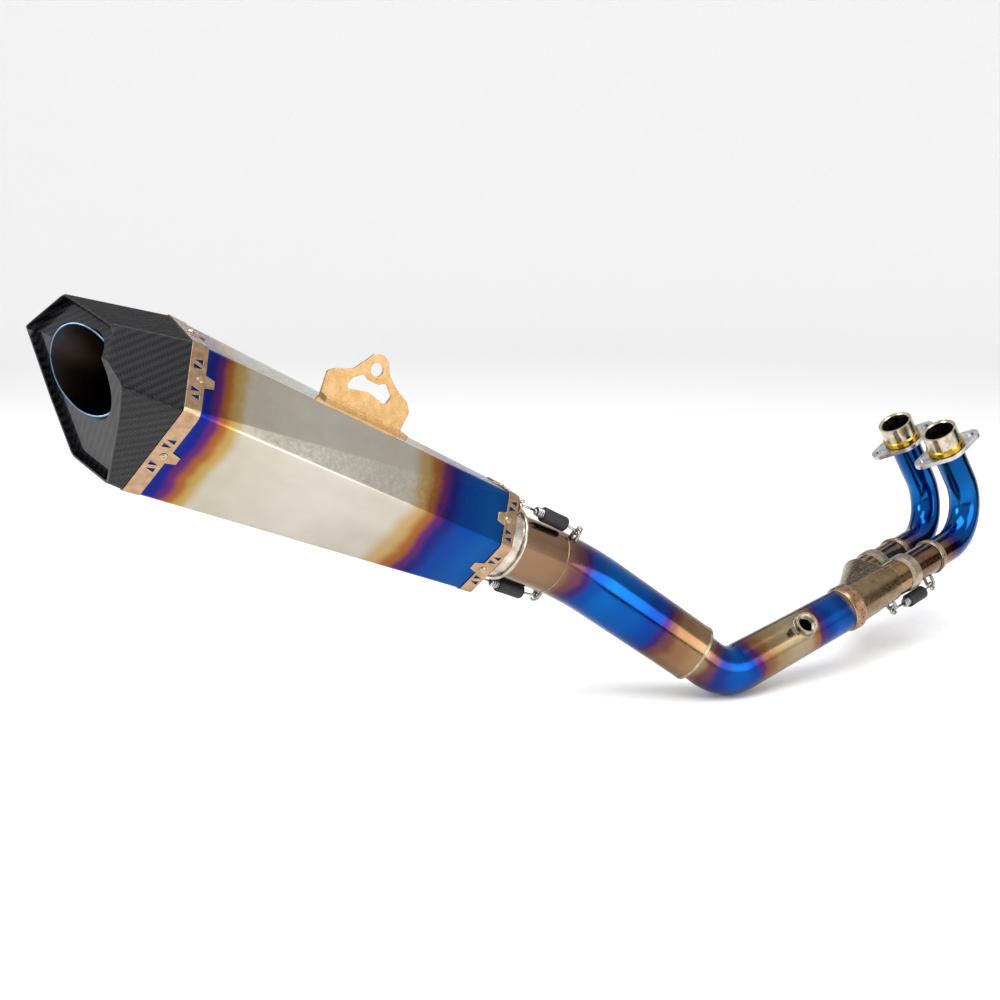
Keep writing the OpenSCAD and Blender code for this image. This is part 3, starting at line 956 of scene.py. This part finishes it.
@dataclass
class Muffler:
    """Six-sided muffler with its carbon cap, bands, bracket and inner pieces."""

    outlet_x: float = -3.0
    outlet_y: float = 2.5
    rim_r: float = 32.75
    rim_z: float = 410.0
    rim_slope_x: float = -0.66
    rim_slope_y: float = 0.455
    rim_wire: float = 0.8
    rim_back: float = 0.6
    inlet_r: float = 34.55
    sides: tuple[tuple[float, float], ...] = ((-70, 75), (22, 57), (66, 2), (0, -79), (-46, -70), (-74, 26))

    def tint(self) -> HeatTint:
        """Colours the sleeve: blue at the pipe, straw and blue at the cap.

        Returns:
            The finish.
        """
        stops = (
            (-6.0, "#0a3068"), (28.0, "#0c4a8c"), (58.0, "#0c3c86"), (76.0, "#1c2068"), (86.0, "#54225c"),
            (96.0, "#8e5428"), (108.0, "#a88c5c"), (126.0, "#b3aca0"), (210.0, "#b9b3a8"),
            (288.0, "#b0aa9a"),
            (301.0, "#a3874c"), (310.0, "#8e5226"), (318.0, "#54225c"), (326.0, "#161f70"),
            (350.0, "#0f3f88"),
        )
        ruler = AxisRuler(LAYOUT.muffler_at, LAYOUT.axis)
        return HeatTint("titanium_sheet_heat_tinted_sleeve", ruler, stops, 0.2, 3.0, 2.0)

    def outlet_tint_and_shade(self) -> HeatTint:
        """Colours the outlet: pale blue at its rim, darker further in, as soot and painted shade of the
        tube's hollow.

        Returns:
            The finish.
        """
        # Painted shade: the colour darkens towards black deep in the tube, for soot and for the shade of its
        # hollow.
        stops = (
            (340.0, "#0d0b0a"), (380.0, "#17110e"), (405.0, "#241b16"), (425.0, "#2c2622"),
            (450.0, "#2a303a"),
        )
        ruler = AxisRuler(LAYOUT.muffler_at, LAYOUT.axis)
        return HeatTint("titanium_tube_heat_tinted_outlet_painted_shade", ruler, stops, 0.42, 4.0)

    def weave(self) -> CarbonTwill:
        """Lays the twill flat on the six sides and the two slanted ends.

        Returns:
            The finish.
        """
        faces = []
        for i, (ax, ay) in enumerate(self.sides):
            bx, by = self.sides[(i + 1) % len(self.sides)]
            run = unit(LAYOUT.out * (bx - ax) + LAYOUT.up * (by - ay))
            faces.append((run.cross(LAYOUT.axis) * -1, run, LAYOUT.axis))
        for slope_x, slope_y in ((-0.38, 0.75), (-0.4, -0.3)):
            facing = unit(LAYOUT.axis - LAYOUT.out * slope_x - LAYOUT.up * slope_y)
            across = flat_of(LAYOUT.out, facing)
            faces.append((facing, across, facing.cross(across)))
        return CarbonTwill("carbon_twill_clear_coated_painted_sheen", tuple(faces))

    def build_rim(self) -> bpy.types.Object:
        """Rolls the thin bright edge round the slash-cut outlet.

        Returns:
            The rim.
        """
        path = []
        count = 120
        for i in range(count):
            turn = 2 * math.pi * i / count
            x = self.outlet_x + self.rim_r * math.cos(turn)
            y = self.outlet_y + self.rim_r * math.sin(turn)
            z = self.rim_z + self.rim_slope_x * x + self.rim_slope_y * y - self.rim_back
            path.append(LAYOUT.muffler_point(x, y, z))
        rim = Metal("titanium_blue_polished_rim", "#7f9cc0", "#5a7698", 0.18, 0.8, 0.008)
        wire = sweep(path, [self.rim_wire] * count, 8, True)
        piece = make_piece("outlet_rim", wire, rim)
        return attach(piece, Body.MUFFLER.value)

    def build(self) -> None:
        """Builds and dresses the muffler."""
        dress("muffler_sleeve", self.tint())
        dress("outlet_tube", self.outlet_tint_and_shade())
        dress("end_cap", self.weave())
        stops = ((-8.0, "#8f7a60"), (-2.0, "#a58d6c"), (3.0, "#3a4c86"))
        ruler = AxisRuler(LAYOUT.muffler_at, LAYOUT.axis)
        dress("front_cap", HeatTint("titanium_pressed_front_cap", ruler, stops, 0.27, 1.0, 1.5))
        for node in ("rear_band", "front_band"):
            dress(node, Palette.BAND)
        for node in ("rear_rivets", "front_rivets"):
            dress(node, Palette.RIVET)
        for node in ("core_tube", "rear_plate"):
            dress(node, Palette.CORE)
        dress("inlet_socket", Palette.SOCKET)
        dress("packing", Palette.WOOL)
        dress("hanger_bracket", Palette.GOLD)
        dress("muffler_hooks", Palette.HOOK)
        self.build_rim()
        at = LAYOUT.muffler_point(0, 0, -6.6)
        WeldBead("inlet_weld", ring_path(at, LAYOUT.axis, self.inlet_r + 0.3), 1.0).build(Body.MUFFLER)


@dataclass
class LinkPipe:
    """Bent pipe between the mid pipe and the muffler, with its springs."""

    top_r: float = 32.5
    bend: float = 180.0
    corner_z: float = -110.0
    top_z: float = 18.0
    hook_z: float = -13.0
    spring_span: float = 76.0
    muffler_seat: float = 35.35
    link_seat: float = 32.7
    crown: float = 8.0
    seam_z: float = -78.0

    def tint(self) -> HeatTint:
        """Colours the pipe: bronze, purple, blue, purple, bronze.

        Returns:
            The finish.
        """
        stops = (
            (0.0, "#8a6e50"), (30.0, "#7c5c40"), (42.0, "#5e3a3a"), (50.0, "#38225e"), (60.0, "#0f3680"),
            (86.0, "#0c4a96"), (120.0, "#0d5299"), (144.0, "#103f88"), (156.0, "#38245e"), (168.0, "#5e3a44"),
            (184.0, "#7a5a44"), (205.0, "#846750"), (282.0, "#8d7056"),
        )
        end = LAYOUT.muffler_point(0, 0, self.top_z)
        ruler = BendRuler(LAYOUT.link_low, LAYOUT.muffler_point(0, 0, self.corner_z), end, self.bend)
        return HeatTint("titanium_mandrel_bent_link_pipe", ruler, stops, 0.15, 6.0)

    def springs(self) -> tuple[Spring, Spring]:
        """Places the two retaining springs, above and below the pipe.

        Returns:
            The springs.
        """
        upper = unit(LAYOUT.up * 0.94 + LAYOUT.out * 0.34)
        lower = unit(LAYOUT.up * -0.9 + LAYOUT.out * -0.3)
        made = []
        for name, out in (("muffler_spring_upper", upper), ("muffler_spring_lower", lower)):
            front = LAYOUT.muffler_point(0, 0, self.hook_z) + out * (self.muffler_seat + self.crown)
            back_z = self.hook_z - self.spring_span
            back = LAYOUT.muffler_point(0, 0, back_z) + out * (self.link_seat + self.crown)
            made.append(Spring(name, back, front, out, sleeve_shift=-5.0))
        return made[0], made[1]

    def build(self) -> None:
        """Builds and dresses the link pipe and its springs."""
        dress("link_pipe", self.tint())
        dress("link_hooks", Palette.HOOK)
        dress("link_step_ring", Palette.FROST)
        seam = ring_path(LAYOUT.muffler_point(0, 0, self.seam_z), LAYOUT.axis, self.top_r)
        WeldBead("link_seam_bead", seam, 0.5).build(Body.PIPE, ("link_seam",))
        for spring in self.springs():
            spring.build(Body.PIPE, Body.MUFFLER, "muffler_springs")
            spring.build_sleeve(Body.PIPE, "muffler_spring_sleeves")


@dataclass
class MidPipe:
    """Bent pipe from the collector to the link pipe, with the sensor bung."""

    start_in: float = 8.0
    end_in: float = 12.0
    bend: float = 40.0
    bung_at: float = 74.0
    bung_turn: float = 46.0
    bung_r: float = 12.0
    bore: float = 8.25
    pitch: float = 1.5
    thread_low: float = 22.6
    thread_high: float = 28.6
    ridge: float = 0.42
    pipe_r: float = 24.2

    def tint(self) -> HeatTint:
        """Colours the pipe: blue by the ring, beige at the bung, blue at the bend.

        Returns:
            The finish.
        """
        stops = (
            (0.0, "#8a6a4e"), (6.0, "#123676"), (24.0, "#0c4a96"), (38.0, "#15337e"), (46.0, "#4a2656"),
            (54.0, "#86583a"), (66.0, "#948266"), (84.0, "#98896e"), (110.0, "#8c7554"), (128.0, "#784e36"),
            (138.0, "#4a2656"), (148.0, "#0f3680"), (164.0, "#0c4a96"), (180.0, "#1f2f74"),
            (190.0, "#5e3a44"), (200.0, "#8a6e50"), (215.0, "#8a6e50"),
        )
        start = LAYOUT.ring_at + LAYOUT.mid_run * self.start_in
        end = LAYOUT.link_low + unit(LAYOUT.link_low - LAYOUT.mid_corner) * self.end_in
        ruler = BendRuler(start, LAYOUT.mid_corner, end, self.bend)
        return HeatTint("titanium_mandrel_bent_mid_pipe", ruler, stops, 0.2, 6.0)

    def bung_frame(self) -> tuple[Vector, Vector, Vector]:
        """Finds the bung's axis and the directions across it.

        Returns:
            Its outward axis, the pipe's run, and the direction across both.
        """
        run = LAYOUT.mid_run
        up = flat_of(vec(0, 0, 1), run)
        side = up.cross(run)
        turn = math.radians(self.bung_turn)
        out = up * math.cos(turn) + side * math.sin(turn) * math.copysign(1, -side.y)
        return out, run, out.cross(run)

    def build_thread(self) -> bpy.types.Object:
        """Cuts the look of the thread inside the bung.

        Returns:
            The thread's ridge.
        """
        out, run, across = self.bung_frame()
        base = LAYOUT.ring_at + run * self.bung_at
        per_turn = 28
        count = int((self.thread_high - self.thread_low) / self.pitch * per_turn)
        path = []
        for i in range(count + 1):
            turn = 2 * math.pi * i / per_turn
            swing = (run * math.cos(turn) + across * math.sin(turn)) * (self.bore + 0.1)
            path.append(base + out * (self.thread_low + self.pitch * i / per_turn) + swing)
        ridge = sweep(path, [self.ridge] * len(path), 6, False)
        piece = make_piece("bung_thread", ridge, Palette.BUNG)
        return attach(piece, Body.PIPE.value)

    def build_saddle(self) -> bpy.types.Object:
        """Lays the weld where the bung stands on the pipe.

        Returns:
            The weld.
        """
        out, run, across = self.bung_frame()
        base = LAYOUT.ring_at + run * self.bung_at
        radius = self.bung_r + 0.3
        count = 4 * round(2 * math.pi * radius / 2.2)
        path = []
        for i in range(count):
            turn = 2 * math.pi * i / count
            a, b = radius * math.cos(turn), radius * math.sin(turn)
            path.append(base + run * a + across * b + out * math.sqrt(self.pipe_r**2 - b**2))
        return WeldBead("bung_weld", tuple(path), 1.1).build(Body.PIPE)

    def build(self) -> None:
        """Builds and dresses the mid pipe and its bung."""
        dress("mid_pipe", self.tint())
        dress("lambda_bung", Palette.BUNG)
        dress("sensor_tab", Palette.HOOK)
        self.build_thread()
        self.build_saddle()


@dataclass
class Collector:
    """Two sockets blended into one neck, with its ring and hooks."""

    ring_half: float = 7.0
    neck_r: float = 23.0

    def build(self) -> None:
        """Builds and dresses the collector."""
        dress("collector", Palette.COLLECTOR)
        dress("collector_ring", Palette.RING)
        dress("collector_hooks", Palette.HOOK)
        for side in ("near", "far"):
            dress(f"socket_{side}", Palette.BRANCH)
            dress(f"socket_lip_{side}", Palette.FROST)
        for name, shift in (("ring_weld_front", -1.0), ("ring_weld_back", 1.0)):
            at = LAYOUT.ring_at + LAYOUT.mid_run * self.ring_half * shift
            WeldBead(name, ring_path(at, LAYOUT.mid_run, self.neck_r + 0.6), 0.8).build(Body.PIPE)


@dataclass
class Header:
    """One port's header pipe, its stub, flange, collar, spigot and spring."""

    side: str
    port: Vector
    drop: float
    aim: Vector
    lip: float
    spring_tilt: Vector
    spring_shift: float
    bend: float = 50.0
    stub_r: float = 18.2
    stub_out: float = 47.0
    pipe_lap: float = 8.0
    crown_r: float = 30.0
    hook_fwd: float = -30.0
    spring_span: float = 76.0

    @property
    def knee(self) -> Vector:
        """Corner where the pipe's two legs meet."""
        return self.port + LAYOUT.port_down * self.drop

    @property
    def run(self) -> Vector:
        """Direction along the lower leg, towards the collector."""
        return unit(self.aim - self.knee)

    @property
    def mouth(self) -> Vector:
        """Centre of the socket's mouth."""
        return self.knee + self.run * self.lip

    @property
    def body(self) -> Body:
        """The header's own body."""
        return Body("header_" + self.side)

    def tint(self) -> HeatTint:
        """Colours the pipe: glossy blue, with purple and brown near its weld.

        Returns:
            The finish.
        """
        low = self.mouth - self.run * (self.stub_out - self.pipe_lap)
        u, v = LAYOUT.port_down, self.run
        back = self.bend * math.tan(u.angle(v) / 2)
        total = self.drop - back + self.bend * u.angle(v) + (low - self.knee).length - back
        stops = (
            (-8.0, "#6e5434"), (2.0, "#123a74"), (22.0, "#0b4886"), (58.0, "#0f5a9c"), (100.0, "#0c4c90"),
            (total - 60.0, "#0d3f86"), (total - 44.0, "#202a70"), (total - 32.0, "#4c2c4a"),
            (total - 20.0, "#704e38"), (total, "#7c6448"),
        )
        ruler = BendRuler(self.port, self.knee, low, self.bend)
        return HeatTint(f"titanium_mandrel_bent_header_{self.side}", ruler, stops, 0.15)

    def spring(self) -> Spring:
        """Places the retaining spring under the slip joint.

        Returns:
            The spring.
        """
        out = flat_of(self.spring_tilt, self.run)
        back = self.hook_fwd + self.spring_span + self.spring_shift
        start = self.mouth + self.run * back + out * self.crown_r
        end = self.mouth + self.run * (self.hook_fwd + self.spring_shift) + out * self.crown_r
        return Spring(f"retainer_{self.side}", start, end, out)

    def build(self) -> None:
        """Builds and dresses the header and its port end."""
        side = self.side
        dress(f"header_{side}", self.tint())
        dress(f"stub_{side}", Palette.STUB)
        dress(f"stub_weld_{side}", Palette.FROST)
        dress(f"header_hook_{side}", Palette.HOOK)
        dress(f"collar_{side}", Palette.COLLAR)
        dress(f"spigot_{side}", Palette.SPIGOT)
        dress(f"flange_{side}", Palette.FLANGE)
        spring = self.spring()
        spring.build(Body.PIPE, self.body, f"header_spring_{side}")
        spring.build_sleeve(Body.PIPE, f"spring_sleeve_{side}")
        at = self.mouth - self.run * (self.stub_out - 0.4)
        WeldBead(f"stub_bead_{side}", ring_path(at, self.run, self.stub_r + 1.4), 0.8).build(self.body)


@dataclass
class Studio:
    """Pale floor that curves up into a wall, soft lights, and the camera."""

    camera_at: Vector = field(default_factory=lambda: vec(-1236, -1156, 280))
    azimuth: float = -29.0
    elevation: float = 12.0
    lens: float = 50.4
    sensor: float = 36.0
    floor_gap: float = 0.4
    flat_r: float = 3400.0
    wall_r: float = 1500.0

    def build_floor(self, low: Vector, centre: Vector) -> None:
        """Turns the floor and its wall as one bowl round the object.

        Args:
            low: The object's lowest corner, in metres.
            centre: The object's middle, in metres.
        """
        mesh = bmesh.new()
        middle = vec(centre.x, centre.y, low.z - self.floor_gap * MM)
        bends = [math.radians(a) for a in range(0, 91, 9)]
        profile = [(60.0, 0.0), (self.flat_r, 0.0)]
        profile += [
            (self.flat_r + self.wall_r * math.sin(b), self.wall_r * (1 - math.cos(b))) for b in bends[1:]
        ]
        steps = 96
        rings = []
        for r, z in profile:
            turns = [2 * math.pi * k / steps for k in range(steps)]
            ring = [middle + vec(r * math.cos(t), r * math.sin(t), z) * MM for t in turns]
            rings.append([mesh.verts.new(p) for p in ring])
        mesh.faces.new(rings[0])
        for a, b in zip(rings, rings[1:]):
            for k in range(steps):
                mesh.faces.new((a[k], a[(k + 1) % steps], b[(k + 1) % steps], b[k]))
        bmesh.ops.recalc_face_normals(mesh, faces=mesh.faces)
        for face in mesh.faces:
            face.smooth = True
        data = bpy.data.meshes.new("studio_floor")
        mesh.to_mesh(data)
        mesh.free()
        floor = bpy.data.objects.new("studio_floor", data)
        bpy.context.scene.collection.objects.link(floor)
        data.materials.append(Dull("paint_matte_studio_white", "#f6f6f6", "#f2f2f2", 0.8, 30.0, 0.01).build())
        floor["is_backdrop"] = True

    def build_light(self, name: str, at: Vector, target: Vector, size: float, power: float) -> None:
        """Hangs one soft square light.

        Args:
            name: The light's name.
            at: Its place, in millimetres.
            target: What it shines at, in millimetres.
            size: Length of its side, in millimetres.
            power: Its power in watts.
        """
        data = bpy.data.lights.new(name, "AREA")
        data.shape = "SQUARE"
        data.size = size * MM
        data.energy = power
        light = bpy.data.objects.new(name, data)
        light.location = at * MM
        light.rotation_mode = "QUATERNION"
        light.rotation_quaternion = (target - at).to_track_quat("-Z", "Y")
        bpy.context.scene.collection.objects.link(light)

    def build_card(self, name: str, at: Vector, target: Vector, wide: float, high: float) -> None:
        """Stands a dark card that only reflections see.

        Args:
            name: The card's name.
            at: Its centre, in millimetres.
            target: What it faces, in millimetres.
            wide: Its width, in millimetres.
            high: Its height, in millimetres.
        """
        facing = unit(target - at)
        across = unit(facing.cross(vec(0, 0, 1)))
        up = across.cross(facing)
        mesh = bmesh.new()
        corners = [(-1, -1), (1, -1), (1, 1), (-1, 1)]
        spots = [at + across * wide / 2 * a + up * high / 2 * b for a, b in corners]
        mesh.faces.new([mesh.verts.new(p * MM) for p in spots])
        data = bpy.data.meshes.new(name)
        mesh.to_mesh(data)
        mesh.free()
        card = bpy.data.objects.new(name, data)
        bpy.context.scene.collection.objects.link(card)
        data.materials.append(Dull("felt_black_card", "#0b0b0c", "#060607", 0.9, 2.0, 0.01).build())
        card.visible_camera = card.visible_diffuse = card.visible_shadow = False
        card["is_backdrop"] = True

    def build_camera(self) -> None:
        """Sets the camera."""
        data = bpy.data.cameras.new("camera")
        data.lens = self.lens
        data.sensor_width = self.sensor
        data.clip_start, data.clip_end = 0.01, 60.0
        data.dof.use_dof = False
        camera = bpy.data.objects.new("camera", data)
        a, e = math.radians(self.azimuth), math.radians(self.elevation)
        back = vec(math.sin(a) * math.cos(e), -math.cos(a) * math.cos(e), math.sin(e))
        camera.location = self.camera_at * MM
        camera.rotation_mode = "QUATERNION"
        camera.rotation_quaternion = (-back).to_track_quat("-Z", "Y")
        bpy.context.scene.collection.objects.link(camera)
        bpy.context.scene.camera = camera

    def build_sky(self) -> None:
        """Fills the room above the wall with even white light."""
        world = bpy.data.worlds.new("studio_light")
        world.use_nodes = True
        world.node_tree.nodes["Background"].inputs["Color"].default_value = linear("#ffffff")
        world.node_tree.nodes["Background"].inputs["Strength"].default_value = 0.82
        bpy.context.scene.world = world
        bpy.context.scene.view_settings.view_transform = "Standard"

    def build(self, low: Vector, high: Vector) -> None:
        """Builds the whole studio.

        Args:
            low: The object's lowest corner, in metres.
            high: The object's highest corner, in metres.
        """
        centre = (low + high) / 2
        target = centre / MM
        self.build_floor(low, centre)
        self.build_light("key_overhead", target + vec(-300, -500, 1900), target, 1700.0, 46.0)
        self.build_light("rim_left", target + vec(-2100, 700, 900), target, 900.0, 22.0)
        self.build_light("fill_front", target + vec(900, -2300, 700), target, 1400.0, 20.0)
        self.build_card("card_front_low", target + vec(-900, -1900, -20), target, 3000.0, 260.0)
        self.build_card("card_back_high", target + vec(500, 2300, 900), target, 3600.0, 500.0)
        self.build_card("card_right", target + vec(2000, -500, 250), target, 900.0, 1100.0)
        self.build_camera()
        self.build_sky()
        LOG.info("built the studio")


def corners(box: tuple[Vector, Vector]) -> list[list[float]]:
    """Turns a box into plain lists.

    Args:
        box: Lowest and highest corner.

    Returns:
        The same as lists of numbers.
    """
    return [list(corner) for corner in box]


def main() -> None:
    """Measures the object, builds every sub-assembly in order, then the studio round it."""
    logging.basicConfig(level=logging.INFO, format="%(name)s: %(message)s")
    cad_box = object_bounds()
    near = vec(0, 0, 0)
    far = vec(0, LAYOUT.port_pitch, 0)
    Muffler().build()
    LinkPipe().build()
    MidPipe().build()
    Collector().build()
    Header("near", near, 121.0, LAYOUT.ring_at, 156.0, vec(0, -0.4, -0.92), 0.0).build()
    Header("far", far, 138.0, LAYOUT.far_join, 172.0, vec(0, 0.55, -0.83), -12.0).build()
    Studio().build(*cad_box)


if __name__ == "__main__":
    main()
